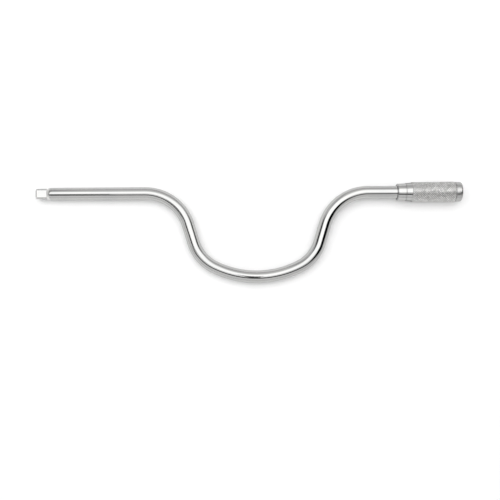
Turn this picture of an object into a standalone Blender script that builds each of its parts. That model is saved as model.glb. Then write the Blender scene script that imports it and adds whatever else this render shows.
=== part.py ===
"""Speed brace with a 3/8 in square drive, a cranked bar and a spinning knurled grip.

Metres. +X runs along the drive axis from the square to the grip, the bow hangs toward -Y and +Z is up.
The origin is the centre of the square's end face. The grip's pieces are measured from its front face.
"""

import math

import bmesh
import bpy
from mathutils import Matrix, Vector

# Running and seating gap between neighbouring pieces
CLEARANCE = 0.0003
# How far a cutter reaches past the face that it cuts
OVERRUN = 0.001

# Square drive
TANG_ACROSS_FLATS = 0.00953
TANG_CORNER_DIAMETER = 0.0116
TANG_LENGTH = 0.0107
TANG_END_RADIUS = 0.0012

# Sprung ball and its blind bore, in the flat that faces -Y
BALL_DIAMETER = 0.0035
BALL_PROTRUSION = 0.0008
BALL_SETBACK = 0.0063
DETENT_CLEARANCE = 0.00012
DETENT_BACK_WALL = 0.0022
SPRING_WIRE_DIAMETER = 0.00045
SPRING_COIL_DIAMETER = 0.0029
SPRING_END_PITCH = 0.00056
SPRING_TURNS = 5

# Bar and its bends, along the centre line from the drive face
BAR_DIAMETER = 0.012
BAR_NOSE_LENGTH = 0.005
BAR_NOSE_DROP = 0.00075
DRIVE_STRAIGHT = 0.1024
UPPER_BEND_RADIUS = 0.042
LOWER_BEND_RADIUS = 0.0376
BOW_RADIUS = 0.0906
THROW = 0.079
LEG_ANGLE = math.radians(73.3)
BOW_HALF_ANGLE = math.radians(26.3)
GRIP_STRAIGHT = 0.0274

# Journal at the rear of the bar, inside the grip
JOURNAL_DIAMETER = 0.008
JOURNAL_TAIL = 0.0017
JOURNAL_CHAMFER = 0.0004
RING_GROOVE_DIAMETER = 0.0066

# Front collar
COLLAR_LENGTH = 0.0079
COLLAR_FRONT_DIAMETER = 0.016
COLLAR_REAR_DIAMETER = 0.0165
COLLAR_SPIGOT_LENGTH = 0.0055
EDGE_BREAK = 0.00025

# Grip sleeve
SLEEVE_LENGTH = 0.046
SLEEVE_BORE_DIAMETER = 0.015
SLEEVE_NOSE_LENGTH = 0.0056
SLEEVE_NOSE_FRONT_DIAMETER = 0.017
SLEEVE_NOSE_REAR_DIAMETER = 0.0176
KNURL_FRONT_DIAMETER = 0.019
KNURL_REAR_DIAMETER = 0.0193
KNURL_CHAMFER = 0.0005
LAND_LENGTH = 0.012
LAND_BORE_DIAMETER = 0.0116

# Bushes, washers and retaining ring
FRONT_BUSH_LENGTH = 0.0085
WASHER_THICKNESS = 0.0012
BUSH_FLANGE_THICKNESS = 0.0014
RING_THICKNESS = 0.001
RING_OUTER_DIAMETER = 0.0112
RING_LUG_HEIGHT = 0.0014
RING_HOLE_DIAMETER = 0.0012
RING_GAP_ANGLE = math.radians(50)
RING_LUG_ANGLE = math.radians(24)

# End cap
CAP_HEAD_LENGTH = 0.0062
CAP_DIAMETER = 0.0185
CAP_EDGE_RADIUS = 0.0018
CAP_SPIGOT_LENGTH = 0.005
CAP_WALL = 0.0015

# Facet counts
BAR_SIDES = 32
BEND_STEP_ANGLE = math.radians(4.5)
TURNED_SIDES = 32
BALL_SIDES = 20
BORE_SIDES = 24
ROUNDING_STEPS = 4
SPRING_POINTS_PER_TURN = 12

# Places along the grip, from the collar's front face
SLEEVE_FRONT = COLLAR_LENGTH + CLEARANCE
FRONT_BUSH_FRONT = COLLAR_LENGTH + COLLAR_SPIGOT_LENGTH + CLEARANCE
SHOULDER = FRONT_BUSH_FRONT + FRONT_BUSH_LENGTH + CLEARANCE
THRUST_WASHER_FRONT = SHOULDER + CLEARANCE
REAR_BUSH_FRONT = THRUST_WASHER_FRONT + WASHER_THICKNESS + CLEARANCE
LAND_FRONT = REAR_BUSH_FRONT + BUSH_FLANGE_THICKNESS + CLEARANCE
LAND_REAR = LAND_FRONT + LAND_LENGTH
REAR_WASHER_FRONT = LAND_REAR + CLEARANCE
GROOVE_FRONT = REAR_WASHER_FRONT + WASHER_THICKNESS
RING_FRONT = GROOVE_FRONT + CLEARANCE
GROOVE_REAR = RING_FRONT + RING_THICKNESS + CLEARANCE
JOURNAL_END = GROOVE_REAR + JOURNAL_TAIL
SLEEVE_REAR = SLEEVE_FRONT + SLEEVE_LENGTH
CAP_FRONT = SLEEVE_REAR + CLEARANCE

# Radii that pieces share
BAR_RADIUS = BAR_DIAMETER / 2
JOURNAL_RADIUS = JOURNAL_DIAMETER / 2
SLEEVE_BORE_RADIUS = SLEEVE_BORE_DIAMETER / 2
SPIGOT_RADIUS = SLEEVE_BORE_RADIUS - CLEARANCE
JOURNAL_BORE_RADIUS = JOURNAL_RADIUS + CLEARANCE
TANG_HALF = TANG_ACROSS_FLATS / 2


def clear_scene():
    for obj in list(bpy.data.objects):
        bpy.data.objects.remove(obj, do_unlink=True)


def metal(name, colour, roughness):
    made = bpy.data.materials.new(name)
    made.use_nodes = True
    shader = made.node_tree.nodes["Principled BSDF"]
    shader.inputs["Base Color"].default_value = (*colour, 1)
    shader.inputs["Metallic"].default_value = 1
    shader.inputs["Roughness"].default_value = roughness
    return made


def empty(name, place, rotation=(0, 0, 0)):
    made = bpy.data.objects.new(name, None)
    made.location = place
    made.rotation_euler = rotation
    bpy.context.scene.collection.objects.link(made)
    return made


def place(name, data, material, parent=None):
    made = bpy.data.objects.new(name, data)
    made.parent = parent
    if material:
        data.materials.append(material)
    bpy.context.scene.collection.objects.link(made)
    return made


def solid(name, bm, material, parent=None):
    """An object from a closed bmesh, smooth where its faces meet at a low angle."""
    bmesh.ops.recalc_face_normals(bm, faces=bm.faces)
    mesh = bpy.data.meshes.new(name)
    bm.to_mesh(mesh)
    bm.free()
    mesh.shade_smooth()
    mesh.set_sharp_from_angle(angle=math.radians(32))
    return place(name, mesh, material, parent)


def helper(obj):
    obj.hide_render = True
    obj.display_type = "WIRE"
    return obj


def boolean(target, operation, operand):
    cut = target.modifiers.new(operand.name, "BOOLEAN")
    cut.operation = operation
    cut.solver = "EXACT"
    cut.object = operand


def turned(name, profile, material, parent, axis="X", sides=TURNED_SIDES):
    """A body of revolution from (along, radius) points, closed by its own outline or on the axis."""
    bm = bmesh.new()
    if axis == "X":
        verts = [bm.verts.new((along, 0, radius)) for along, radius in profile]
    else:
        verts = [bm.verts.new((radius, 0, along)) for along, radius in profile]
    edges = [bm.edges.new(pair) for pair in zip(verts, verts[1:])]
    if profile[0][1] > 0:
        edges.append(bm.edges.new((verts[-1], verts[0])))
    bmesh.ops.spin(
        bm,
        geom=verts + edges,
        cent=(0, 0, 0),
        axis=Vector((1, 0, 0)) if axis == "X" else Vector((0, 0, 1)),
        angle=2 * math.pi,
        steps=sides,
        use_merge=True,
    )
    bmesh.ops.remove_doubles(bm, verts=bm.verts, dist=CLEARANCE / 1000)
    return solid(name, bm, material, parent)


def loft(rings):
    """A closed bmesh through rings of equally many points, with a flat face on each end."""
    bm = bmesh.new()
    loops = [[bm.verts.new(point) for point in ring] for ring in rings]
    for loop, following in zip(loops, loops[1:]):
        for i, vert in enumerate(loop):
            j = (i + 1) % len(loop)
            bm.faces.new((vert, loop[j], following[j], following[i]))
    bm.faces.new(loops[0])
    bm.faces.new(loops[-1])
    return bm


def ring(along, section):
    """Section points (across, up) set square to the bar's centre line, at one place along it."""
    x, y, heading = along
    return [
        Vector((x - across * math.sin(heading), y + across * math.cos(heading), up))
        for across, up in section
    ]


def circle(radius, sides=BAR_SIDES):
    turn = 2 * math.pi / sides
    return [(radius * math.cos(i * turn), radius * math.sin(i * turn)) for i in range(sides)]


def leg_length():
    """Straight run between the upper and lower bends that gives the bow its throw."""
    drop = (
        UPPER_BEND_RADIUS * (1 - math.cos(LEG_ANGLE))
        + LOWER_BEND_RADIUS * (math.cos(BOW_HALF_ANGLE) - math.cos(LEG_ANGLE))
        + BOW_RADIUS * (1 - math.cos(BOW_HALF_ANGLE))
    )
    return (THROW - drop) / math.sin(LEG_ANGLE)


def bend(start, radius, turn):
    """Places along an arc of the centre line; a positive turn curves toward +Y."""
    x, y, heading = start
    side = math.copysign(1, turn)
    steps = math.ceil(abs(turn) / BEND_STEP_ANGLE)
    places = []
    for i in range(1, steps + 1):
        now = heading + turn * i / steps
        places.append(
            (
                x + side * radius * (math.sin(now) - math.sin(heading)),
                y - side * radius * (math.cos(now) - math.cos(heading)),
                now,
            )
        )
    return places


def run(start, length):
    x, y, heading = start
    return [(x + length * math.cos(heading), y + length * math.sin(heading), heading)]


def bow_places():
    """Centre line from the first bend to the end of the last one."""
    places = [(DRIVE_STRAIGHT, 0, 0)]
    lower_turn = LEG_ANGLE - BOW_HALF_ANGLE
    places += bend(places[-1], UPPER_BEND_RADIUS, -LEG_ANGLE)
    places += run(places[-1], leg_length())
    places += bend(places[-1], LOWER_BEND_RADIUS, lower_turn)
    places += bend(places[-1], BOW_RADIUS, 2 * BOW_HALF_ANGLE)
    places += bend(places[-1], LOWER_BEND_RADIUS, lower_turn)
    places += run(places[-1], leg_length())
    places += bend(places[-1], UPPER_BEND_RADIUS, -LEG_ANGLE)
    return places


def grip_face():
    """Where the collar's front face lies on the X axis."""
    return bow_places()[-1][0] + GRIP_STRAIGHT


def nose_rings():
    """The bar's front end, rounded like a quarter ellipse behind the square."""
    rings = []
    for i in range(ROUNDING_STEPS + 1):
        turn = math.pi / 2 * i / ROUNDING_STEPS
        along = TANG_LENGTH + BAR_NOSE_LENGTH * (1 - math.cos(turn))
        radius = BAR_RADIUS - BAR_NOSE_DROP * (1 - math.sin(turn))
        rings.append(ring((along, 0, 0), circle(radius)))
    return rings


def journal_rings(face):
    """Shoulder, journal and ring groove, from (along the grip, radius)."""
    groove_radius = RING_GROOVE_DIAMETER / 2
    steps = [
        (SHOULDER - EDGE_BREAK, BAR_RADIUS),
        (SHOULDER, BAR_RADIUS - EDGE_BREAK),
        (SHOULDER, JOURNAL_RADIUS),
        (GROOVE_FRONT, JOURNAL_RADIUS),
        (GROOVE_FRONT, groove_radius),
        (GROOVE_REAR, groove_radius),
        (GROOVE_REAR, JOURNAL_RADIUS),
        (JOURNAL_END - JOURNAL_CHAMFER, JOURNAL_RADIUS),
        (JOURNAL_END, JOURNAL_RADIUS - JOURNAL_CHAMFER),
    ]
    return [ring((face + along, 0, 0), circle(radius)) for along, radius in steps]


def tang_section():
    """A square with its corners rounded on the corner diameter, from flat to flat."""
    corner_radius = TANG_CORNER_DIAMETER / 2
    edge = math.acos(TANG_HALF / corner_radius)
    corner_steps = 4
    points = []
    for quarter in range(4):
        points.append(Vector((TANG_HALF, 0)))
        for i in range(corner_steps + 1):
            turn = edge + (math.pi / 2 - 2 * edge) * i / corner_steps
            points.append(corner_radius * Vector((math.cos(turn), math.sin(turn))))
        first = len(points) - corner_steps - 2
        turned_by = Matrix.Rotation(quarter * math.pi / 2, 2)
        points[first:] = [turned_by @ point for point in points[first:]]
    return points


def tang_blank():
    """The square drive, run back into the bar's rounded nose."""
    section = tang_section()
    rings = []
    for i in range(ROUNDING_STEPS + 1):
        turn = math.pi / 2 * i / ROUNDING_STEPS
        along = TANG_END_RADIUS * (1 - math.cos(turn))
        share = 1 - TANG_END_RADIUS * (1 - math.sin(turn)) / TANG_HALF
        rings.append(ring((along, 0, 0), [point * share for point in section]))
    rings.append(ring((TANG_LENGTH + BAR_NOSE_LENGTH, 0, 0), section))
    return helper(solid("tang_blank", loft(rings), None))


def ball_depth():
    """Depth of the ball's centre below the flat."""
    return BALL_DIAMETER / 2 - BALL_PROTRUSION


def detent_bore_depth():
    return TANG_ACROSS_FLATS - DETENT_BACK_WALL


def detent_bore(axis):
    """Blind bore for ball and spring, closed in at its mouth to follow the ball and hold it in."""
    bore_radius = BALL_DIAMETER / 2 + DETENT_CLEARANCE
    profile = []
    for i in range(ROUNDING_STEPS + 1):
        depth = ball_depth() * i / ROUNDING_STEPS
        profile.append((depth, math.sqrt(bore_radius**2 - (ball_depth() - depth) ** 2)))
    profile.append((detent_bore_depth(), bore_radius))
    mouth = profile[0][1]
    profile = [(-OVERRUN, 0), (-OVERRUN, mouth), *profile, (detent_bore_depth(), 0)]
    return helper(turned("detent_bore_cutter", profile, None, axis, "Z", BORE_SIDES))


def make_crank_bar(material, detent_axis):
    face = grip_face()
    bow = [ring(along, circle(BAR_RADIUS)) for along in bow_places()]
    bar = solid("crank_bar", loft(nose_rings() + bow + journal_rings(face)), material)
    boolean(bar, "UNION", tang_blank())
    boolean(bar, "DIFFERENCE", detent_bore(detent_axis))


def make_detent_ball(material, axis):
    bm = bmesh.new()
    bmesh.ops.create_uvsphere(
        bm, u_segments=BALL_SIDES, v_segments=BALL_SIDES // 2, radius=BALL_DIAMETER / 2
    )
    ball = solid("detent_ball", bm, material, axis)
    ball.location = (0, 0, ball_depth())


def make_detent_spring(material, axis):
    """A compression spring with closed end turns, from the ball to the bottom of its bore."""
    wire_radius = SPRING_WIRE_DIAMETER / 2
    coil_radius = SPRING_COIL_DIAMETER / 2 - wire_radius
    reach = BALL_DIAMETER / 2 + wire_radius + DETENT_CLEARANCE
    front = ball_depth() + math.sqrt(reach**2 - coil_radius**2)
    rear = detent_bore_depth() - wire_radius - DETENT_CLEARANCE
    active_pitch = (rear - front - 2 * SPRING_END_PITCH) / (SPRING_TURNS - 2)
    curve = bpy.data.curves.new("detent_spring", "CURVE")
    curve.dimensions = "3D"
    curve.bevel_depth = wire_radius
    curve.bevel_resolution = 1
    curve.use_fill_caps = True
    count = SPRING_TURNS * SPRING_POINTS_PER_TURN + 1
    spline = curve.splines.new("POLY")
    spline.points.add(count - 1)
    for i, point in enumerate(spline.points):
        turns = i / SPRING_POINTS_PER_TURN
        end_turns = min(turns, 1) + max(turns - (SPRING_TURNS - 1), 0)
        depth = front + end_turns * SPRING_END_PITCH + (turns - end_turns) * active_pitch
        angle = 2 * math.pi * turns
        across = (coil_radius * math.cos(angle), coil_radius * math.sin(angle))
        point.co = (*across, depth, 1)
    place("detent_spring", curve, material, axis)


def make_front_collar(material, axis):
    bore = BAR_RADIUS + CLEARANCE
    front = COLLAR_FRONT_DIAMETER / 2
    rear = COLLAR_REAR_DIAMETER / 2
    spigot_end = COLLAR_LENGTH + COLLAR_SPIGOT_LENGTH
    profile = [
        (EDGE_BREAK, bore),
        (0, bore + EDGE_BREAK),
        (0, front - EDGE_BREAK),
        (EDGE_BREAK, front),
        (COLLAR_LENGTH - EDGE_BREAK, rear),
        (COLLAR_LENGTH, rear - EDGE_BREAK),
        (COLLAR_LENGTH, SPIGOT_RADIUS),
        (spigot_end - EDGE_BREAK, SPIGOT_RADIUS),
        (spigot_end, SPIGOT_RADIUS - EDGE_BREAK),
        (spigot_end, bore),
    ]
    turned("front_collar", profile, material, axis)


def make_grip_sleeve(material, axis):
    nose_front = SLEEVE_NOSE_FRONT_DIAMETER / 2
    nose_rear = SLEEVE_NOSE_REAR_DIAMETER / 2
    knurl_front = SLEEVE_FRONT + SLEEVE_NOSE_LENGTH
    knurl_front_radius = KNURL_FRONT_DIAMETER / 2
    knurl_rear_radius = KNURL_REAR_DIAMETER / 2
    land = LAND_BORE_DIAMETER / 2
    profile = [
        (SLEEVE_FRONT, SLEEVE_BORE_RADIUS),
        (SLEEVE_FRONT, nose_front - EDGE_BREAK),
        (SLEEVE_FRONT + EDGE_BREAK, nose_front),
        (knurl_front, nose_rear),
        (knurl_front, knurl_front_radius - KNURL_CHAMFER),
        (knurl_front + KNURL_CHAMFER, knurl_front_radius),
        (SLEEVE_REAR - KNURL_CHAMFER, knurl_rear_radius),
        (SLEEVE_REAR, knurl_rear_radius - KNURL_CHAMFER),
        (SLEEVE_REAR, SLEEVE_BORE_RADIUS),
        (LAND_REAR, SLEEVE_BORE_RADIUS),
        (LAND_REAR, land),
        (LAND_FRONT, land),
        (LAND_FRONT, SLEEVE_BORE_RADIUS),
    ]
    turned("grip_sleeve", profile, material, axis)


def make_front_bush(material, axis):
    rear = FRONT_BUSH_FRONT + FRONT_BUSH_LENGTH
    bore = BAR_RADIUS + CLEARANCE
    profile = [
        (FRONT_BUSH_FRONT, bore),
        (FRONT_BUSH_FRONT, SPIGOT_RADIUS),
        (rear, SPIGOT_RADIUS),
        (rear, bore),
    ]
    turned("front_bush", profile, material, axis)


def make_rear_bush(material, axis):
    body = LAND_BORE_DIAMETER / 2 - CLEARANCE
    flange_rear = REAR_BUSH_FRONT + BUSH_FLANGE_THICKNESS
    profile = [
        (REAR_BUSH_FRONT, JOURNAL_BORE_RADIUS),
        (REAR_BUSH_FRONT, SPIGOT_RADIUS),
        (flange_rear, SPIGOT_RADIUS),
        (flange_rear, body),
        (LAND_REAR, body),
        (LAND_REAR, JOURNAL_BORE_RADIUS),
    ]
    turned("rear_bush", profile, material, axis)


def make_washer(name, front, material, axis):
    rear = front + WASHER_THICKNESS
    profile = [
        (front, JOURNAL_BORE_RADIUS),
        (front, SPIGOT_RADIUS - EDGE_BREAK),
        (front + EDGE_BREAK, SPIGOT_RADIUS),
        (rear - EDGE_BREAK, SPIGOT_RADIUS),
        (rear, SPIGOT_RADIUS - EDGE_BREAK),
        (rear, JOURNAL_BORE_RADIUS),
    ]
    turned(name, profile, material, axis)


def arc(radius, start, end):
    steps = math.ceil(abs(end - start) / (2 * math.pi) * TURNED_SIDES)
    angles = [start + (end - start) * i / steps for i in range(steps + 1)]
    return [(radius * math.cos(angle), radius * math.sin(angle)) for angle in angles]


def make_retaining_ring(material, axis):
    """An open ring with two drilled lugs for pliers, sprung into the journal's groove."""
    inner = RING_GROOVE_DIAMETER / 2 + CLEARANCE
    outer = RING_OUTER_DIAMETER / 2
    lug = outer + RING_LUG_HEIGHT
    start = RING_GAP_ANGLE / 2
    root = start + RING_LUG_ANGLE
    outline = (
        arc(lug, start, root)
        + arc(outer, root, 2 * math.pi - root)
        + arc(lug, 2 * math.pi - root, 2 * math.pi - start)
        + arc(inner, 2 * math.pi - start, start)
    )
    bm = bmesh.new()
    face = bm.faces.new([bm.verts.new((RING_FRONT, across, up)) for across, up in outline])
    made = bmesh.ops.extrude_face_region(bm, geom=[face])
    moved = [item for item in made["geom"] if isinstance(item, bmesh.types.BMVert)]
    bmesh.ops.translate(bm, verts=moved, vec=(RING_THICKNESS, 0, 0))
    ring_object = solid("retaining_ring", bm, material, axis)
    hole_circle = (inner + lug) / 2
    hole_turn = start + RING_LUG_ANGLE / 2
    for name, angle in (("upper_lug_cutter", hole_turn), ("lower_lug_cutter", -hole_turn)):
        profile = [
            (-OVERRUN, 0),
            (-OVERRUN, RING_HOLE_DIAMETER / 2),
            (RING_THICKNESS + OVERRUN, RING_HOLE_DIAMETER / 2),
            (RING_THICKNESS + OVERRUN, 0),
        ]
        cutter = helper(turned(name, profile, None, axis, sides=BORE_SIDES // 2))
        across = hole_circle * math.cos(angle)
        cutter.location = (RING_FRONT, across, hole_circle * math.sin(angle))
        boolean(ring_object, "DIFFERENCE", cutter)


def make_end_cap(material, axis):
    """A plug with a rounded head, its spigot turned hollow."""
    radius = CAP_DIAMETER / 2
    rear = CAP_FRONT + CAP_HEAD_LENGTH
    spigot_front = CAP_FRONT - CAP_SPIGOT_LENGTH
    floor = CAP_FRONT - CAP_WALL
    hollow = SPIGOT_RADIUS - CAP_WALL
    profile = [
        (floor, 0),
        (floor, hollow),
        (spigot_front, hollow),
        (spigot_front, SPIGOT_RADIUS),
        (CAP_FRONT, SPIGOT_RADIUS),
        (CAP_FRONT, radius - EDGE_BREAK),
        (CAP_FRONT + EDGE_BREAK, radius),
    ]
    for i in range(ROUNDING_STEPS + 1):
        turn = math.pi / 2 * i / ROUNDING_STEPS
        along = rear - CAP_EDGE_RADIUS * (1 - math.sin(turn))
        profile.append((along, radius - CAP_EDGE_RADIUS * (1 - math.cos(turn))))
    profile.append((rear, 0))
    turned("end_cap", profile, material, axis)


def main():
    clear_scene()
    chrome = metal("polished_chrome", (0.74, 0.74, 0.73), 0.08)
    satin = metal("knurled_chrome", (0.66, 0.66, 0.64), 0.28)
    bronze = metal("sintered_bronze", (0.56, 0.38, 0.2), 0.4)
    steel = metal("plain_steel", (0.45, 0.45, 0.46), 0.35)
    spring_steel = metal("spring_steel", (0.3, 0.3, 0.32), 0.3)

    detent_axis = empty(
        "detent_slide_axis", (BALL_SETBACK, -TANG_HALF, 0), (-math.pi / 2, 0, 0)
    )
    grip_axis = empty("grip_spin_axis", (grip_face(), 0, 0))

    make_crank_bar(chrome, detent_axis)
    make_detent_ball(steel, detent_axis)
    make_detent_spring(spring_steel, detent_axis)
    make_front_collar(chrome, grip_axis)
    make_grip_sleeve(satin, grip_axis)
    make_front_bush(bronze, grip_axis)
    make_washer("thrust_washer", THRUST_WASHER_FRONT, steel, grip_axis)
    make_rear_bush(bronze, grip_axis)
    make_washer("rear_washer", REAR_WASHER_FRONT, steel, grip_axis)
    make_retaining_ring(spring_steel, grip_axis)
    make_end_cap(chrome, grip_axis)


main()
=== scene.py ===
"""Looks for the speed brace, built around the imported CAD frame.

Metres, in the frame's axes: +X runs from the square drive to the grip, the bow hangs toward -Y, +Z is up.
Places along the grip are measured from the collar's front face, as in the part's source.
"""

import math
import random

import bmesh
import bpy
from mathutils import Matrix, Vector


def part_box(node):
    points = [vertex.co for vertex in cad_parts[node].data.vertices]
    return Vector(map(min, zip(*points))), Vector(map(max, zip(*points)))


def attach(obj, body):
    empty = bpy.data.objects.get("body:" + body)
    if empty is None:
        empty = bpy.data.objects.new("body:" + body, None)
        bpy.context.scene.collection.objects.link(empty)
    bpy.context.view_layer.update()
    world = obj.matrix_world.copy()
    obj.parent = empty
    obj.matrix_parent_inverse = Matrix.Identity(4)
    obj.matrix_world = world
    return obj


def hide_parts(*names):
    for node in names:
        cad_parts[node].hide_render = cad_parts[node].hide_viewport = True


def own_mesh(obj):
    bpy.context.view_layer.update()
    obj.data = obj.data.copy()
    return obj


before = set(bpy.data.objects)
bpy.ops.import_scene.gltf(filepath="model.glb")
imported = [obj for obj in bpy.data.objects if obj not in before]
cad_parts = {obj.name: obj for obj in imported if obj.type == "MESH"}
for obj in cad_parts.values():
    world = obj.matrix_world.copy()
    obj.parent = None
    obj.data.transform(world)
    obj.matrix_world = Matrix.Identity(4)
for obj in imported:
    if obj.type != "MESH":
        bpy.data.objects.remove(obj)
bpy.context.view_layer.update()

MM = 0.001

# Square drive
TANG_HALF = 4.765 * MM
TANG_CORNER_RADIUS = 5.8 * MM
TANG_LENGTH = 10.7 * MM
TANG_END_RADIUS = 1.2 * MM
TANG_ROOT_FILLET = 0.25 * MM
# The root's fillet shrinks along the bar's nose: where it ends, and the least that is left of it
ROOT_FILLET_END_SHARE = 0.9
ROOT_FILLET_LEAST_SHARE = 0.001
# Rings along the square, and closer ones at its root, from a little before it
TANG_RINGS = (4 * MM, 7 * MM, 9.5 * MM)
ROOT_RINGS_LEAD = 0.6 * MM
ROOT_RING_SPACING = 0.05 * MM
ROOT_RING_COUNT = 12

# Sprung ball and its bore, in the flat that faces -Y
BALL_RADIUS = 1.75 * MM
BALL_DEPTH = 0.95 * MM
BALL_SETBACK = 6.3 * MM
BORE_CLEARANCE = 0.12 * MM
BORE_DEPTH = 7.33 * MM
BORE_LIP = 0.12 * MM
BORE_OVERRUN = 1 * MM
SPRING_WIRE_RADIUS = 0.225 * MM
SPRING_COIL_RADIUS = 1.225 * MM
SPRING_END_PITCH = 0.56 * MM
SPRING_TURNS = 5

# Bar and its centre line
BAR_RADIUS = 6 * MM
BAR_NOSE_LENGTH = 5 * MM
BAR_NOSE_DROP = 0.75 * MM
BAR_NOSE_STEEPNESS = 4
DRIVE_STRAIGHT = 102.4 * MM
UPPER_BEND_RADIUS = 42 * MM
LOWER_BEND_RADIUS = 37.6 * MM
BOW_RADIUS = 90.6 * MM
THROW = 79 * MM
LEG_ANGLE = math.radians(73.3)
BOW_HALF_ANGLE = math.radians(26.3)

# Journal inside the grip, with places behind the collar's front face
EDGE_BREAK = 0.25 * MM
SHOULDER = 22.5 * MM
JOURNAL_RADIUS = 4 * MM
GROOVE_RADIUS = 3.3 * MM
GROOVE_FRONT = 39.5 * MM
GROOVE_REAR = 41.1 * MM
JOURNAL_END = 42.8 * MM
JOURNAL_CHAMFER = 0.4 * MM

# Grip
COLLAR_LENGTH = 8 * MM
COLLAR_FRONT_RADIUS = 8 * MM
COLLAR_REAR_RADIUS = 8.25 * MM
COLLAR_BORE = 6.3 * MM
COLLAR_CHAMFER_LENGTH = 0.9 * MM
COLLAR_CHAMFER_DROP = 0.3 * MM
SPIGOT_RADIUS = 7.2 * MM
COLLAR_SPIGOT_END = 13.4 * MM
SLEEVE_FRONT = 8.2 * MM
SLEEVE_REAR = 54.2 * MM
SLEEVE_BORE = 7.5 * MM
NOSE_FRONT_RADIUS = 8.5 * MM
NOSE_REAR_RADIUS = 8.8 * MM
NOSE_FLARE_LENGTH = 1.2 * MM
NOSE_FLARE_DROP = 0.06 * MM
NOSE_FLARE_ROUNDING = 1 * MM
KNURL_FRONT = 13.8 * MM
KNURL_FRONT_RADIUS = 9.5 * MM
KNURL_REAR_RADIUS = 9.65 * MM
KNURL_CHAMFER = 0.5 * MM
LAND_FRONT = 26 * MM
LAND_REAR = 38 * MM
LAND_BORE = 5.8 * MM
CAP_FRONT = 54.5 * MM
CAP_REAR = 60.7 * MM
CAP_RADIUS = 9.25 * MM
CAP_EDGE_RADIUS = 1.8 * MM
CAP_SPIGOT_FRONT = 49.5 * MM
CAP_FLOOR = 53 * MM
CAP_HOLLOW = 5.7 * MM

# Roundings of the grip's edges
CRISP_EDGE = 0.06 * MM
INNER_EDGE = 0.1 * MM
FACE_EDGE = 0.12 * MM
RIM_EDGE = 0.15 * MM
BROKEN_EDGE = 0.2 * MM
SOFT_EDGE = 0.3 * MM

# Diamond knurling
KNURL_STARTS = 28
KNURL_DIAMOND_LENGTH = 2.1 * MM
KNURL_DEPTH = 0.28 * MM
# Wear that differs from diamond to diamond: how far a tip is sunk, and how far it leans either way
KNURL_TIP_VARIATION = 0.02 * MM
KNURL_TIP_LEAN = 0.1 * MM
KNURL_SEED = 5
# Rings of one diamond from its groove to its tip: share of its half size, share of the depth
KNURL_RING_SHARES = ((0.95, 0.97), (0.7, 0.12), (0.6, 0.04), (0.3, 0.0))
# The rod that the knurl is cut from is longer than the sleeve, and the sleeve's blank is fatter
KNURL_ROD_OVERRUN = 1 * MM
KNURL_BLANK_OVERSIZE = 0.2 * MM
# How much of the grooves' painted shade the chamfers at the knurl's ends get, as a share of a groove's
# depth
KNURL_CHAMFER_SHARE = 0.7
KNURL_TOLERANCE = 0.01 * MM

# How finely shapes are divided, and the angles in degrees above which an edge is shaded sharp
TANG_END_STEPS = 10
FLAT_STEPS = 20
CORNER_STEPS = 12
NOSE_STEPS = 28
BEND_STEP = math.radians(1.5)
BORE_MOUTH_STEPS = 10
BALL_SIDES = 48
BALL_RINGS = 32
SPRING_TURN_STEPS = 36
SPRING_WIRE_SIDES = 12
FILLET_STEPS = 4
CAP_EDGE_STEPS = 12
TURNED_SIDES = 128
SHARP_ANGLE = 35
KNURL_SHARP_ANGLE = 28
MERGE_DISTANCE = 0.001 * MM

# Where the collar's front face lies along the tool
GRIP_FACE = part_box("front_collar")[0].x


# Meshes


def add_piece(name, bm, material, body, replaced, sharp=SHARP_ANGLE):
    """A finished piece of the object, from a closed bmesh."""
    bmesh.ops.recalc_face_normals(bm, faces=bm.faces)
    mesh = bpy.data.meshes.new(name)
    bm.to_mesh(mesh)
    bm.free()
    mesh.shade_smooth()
    mesh.set_sharp_from_angle(angle=math.radians(sharp))
    mesh.materials.append(material)
    obj = bpy.data.objects.new(name, mesh)
    bpy.context.scene.collection.objects.link(obj)
    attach(obj, body)
    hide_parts(replaced)
    return obj


def loft(rings, lays):
    """A closed bmesh through rings of equally many points.

    Lays holds each point's place on the piece as if it were straight, which the materials follow.
    """
    bm = bmesh.new()
    lay = bm.verts.layers.float_vector.new("lay")
    loops = []
    for points, places in zip(rings, lays):
        loop = []
        for point, place in zip(points, places):
            vert = bm.verts.new(point)
            vert[lay] = place
            loop.append(vert)
        loops.append(loop)
    for loop, following in zip(loops, loops[1:]):
        for i, vert in enumerate(loop):
            j = (i + 1) % len(loop)
            bm.faces.new((vert, loop[j], following[j], following[i]))
    bm.faces.new(loops[0])
    bm.faces.new(loops[-1])
    return bm


def filleted(profile):
    """Outline of (along, radius, rounding) corners, as plain (along, radius) points."""
    points = []
    for i, (along, radius, rounding) in enumerate(profile):
        here = Vector((along, radius))
        if not rounding or i in (0, len(profile) - 1):
            points.append(here)
            continue
        before = Vector(profile[i - 1][:2]) - here
        after = Vector(profile[i + 1][:2]) - here
        corner = before.angle(after)
        reach = rounding / math.tan(corner / 2)
        start = here + before.normalized() * reach
        end = here + after.normalized() * reach
        for step in range(FILLET_STEPS + 1):
            share = step / FILLET_STEPS
            points.append(
                start * (1 - share) ** 2 + here * 2 * share * (1 - share) + end * share**2
            )
    return points


def turned(profile, closed=True):
    """A body of revolution about the grip's axis from (along, radius) points behind the collar's face."""
    bm = bmesh.new()
    verts = [bm.verts.new((GRIP_FACE + along, 0, radius)) for along, radius in profile]
    edges = [bm.edges.new(pair) for pair in zip(verts, verts[1:])]
    if closed:
        edges.append(bm.edges.new((verts[-1], verts[0])))
    bmesh.ops.spin(
        bm,
        geom=verts + edges,
        cent=(0, 0, 0),
        axis=(1, 0, 0),
        angle=2 * math.pi,
        steps=TURNED_SIDES,
        use_merge=True,
    )
    bmesh.ops.remove_doubles(bm, verts=bm.verts, dist=MERGE_DISTANCE)
    bmesh.ops.recalc_face_normals(bm, faces=bm.faces)
    return bm


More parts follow.
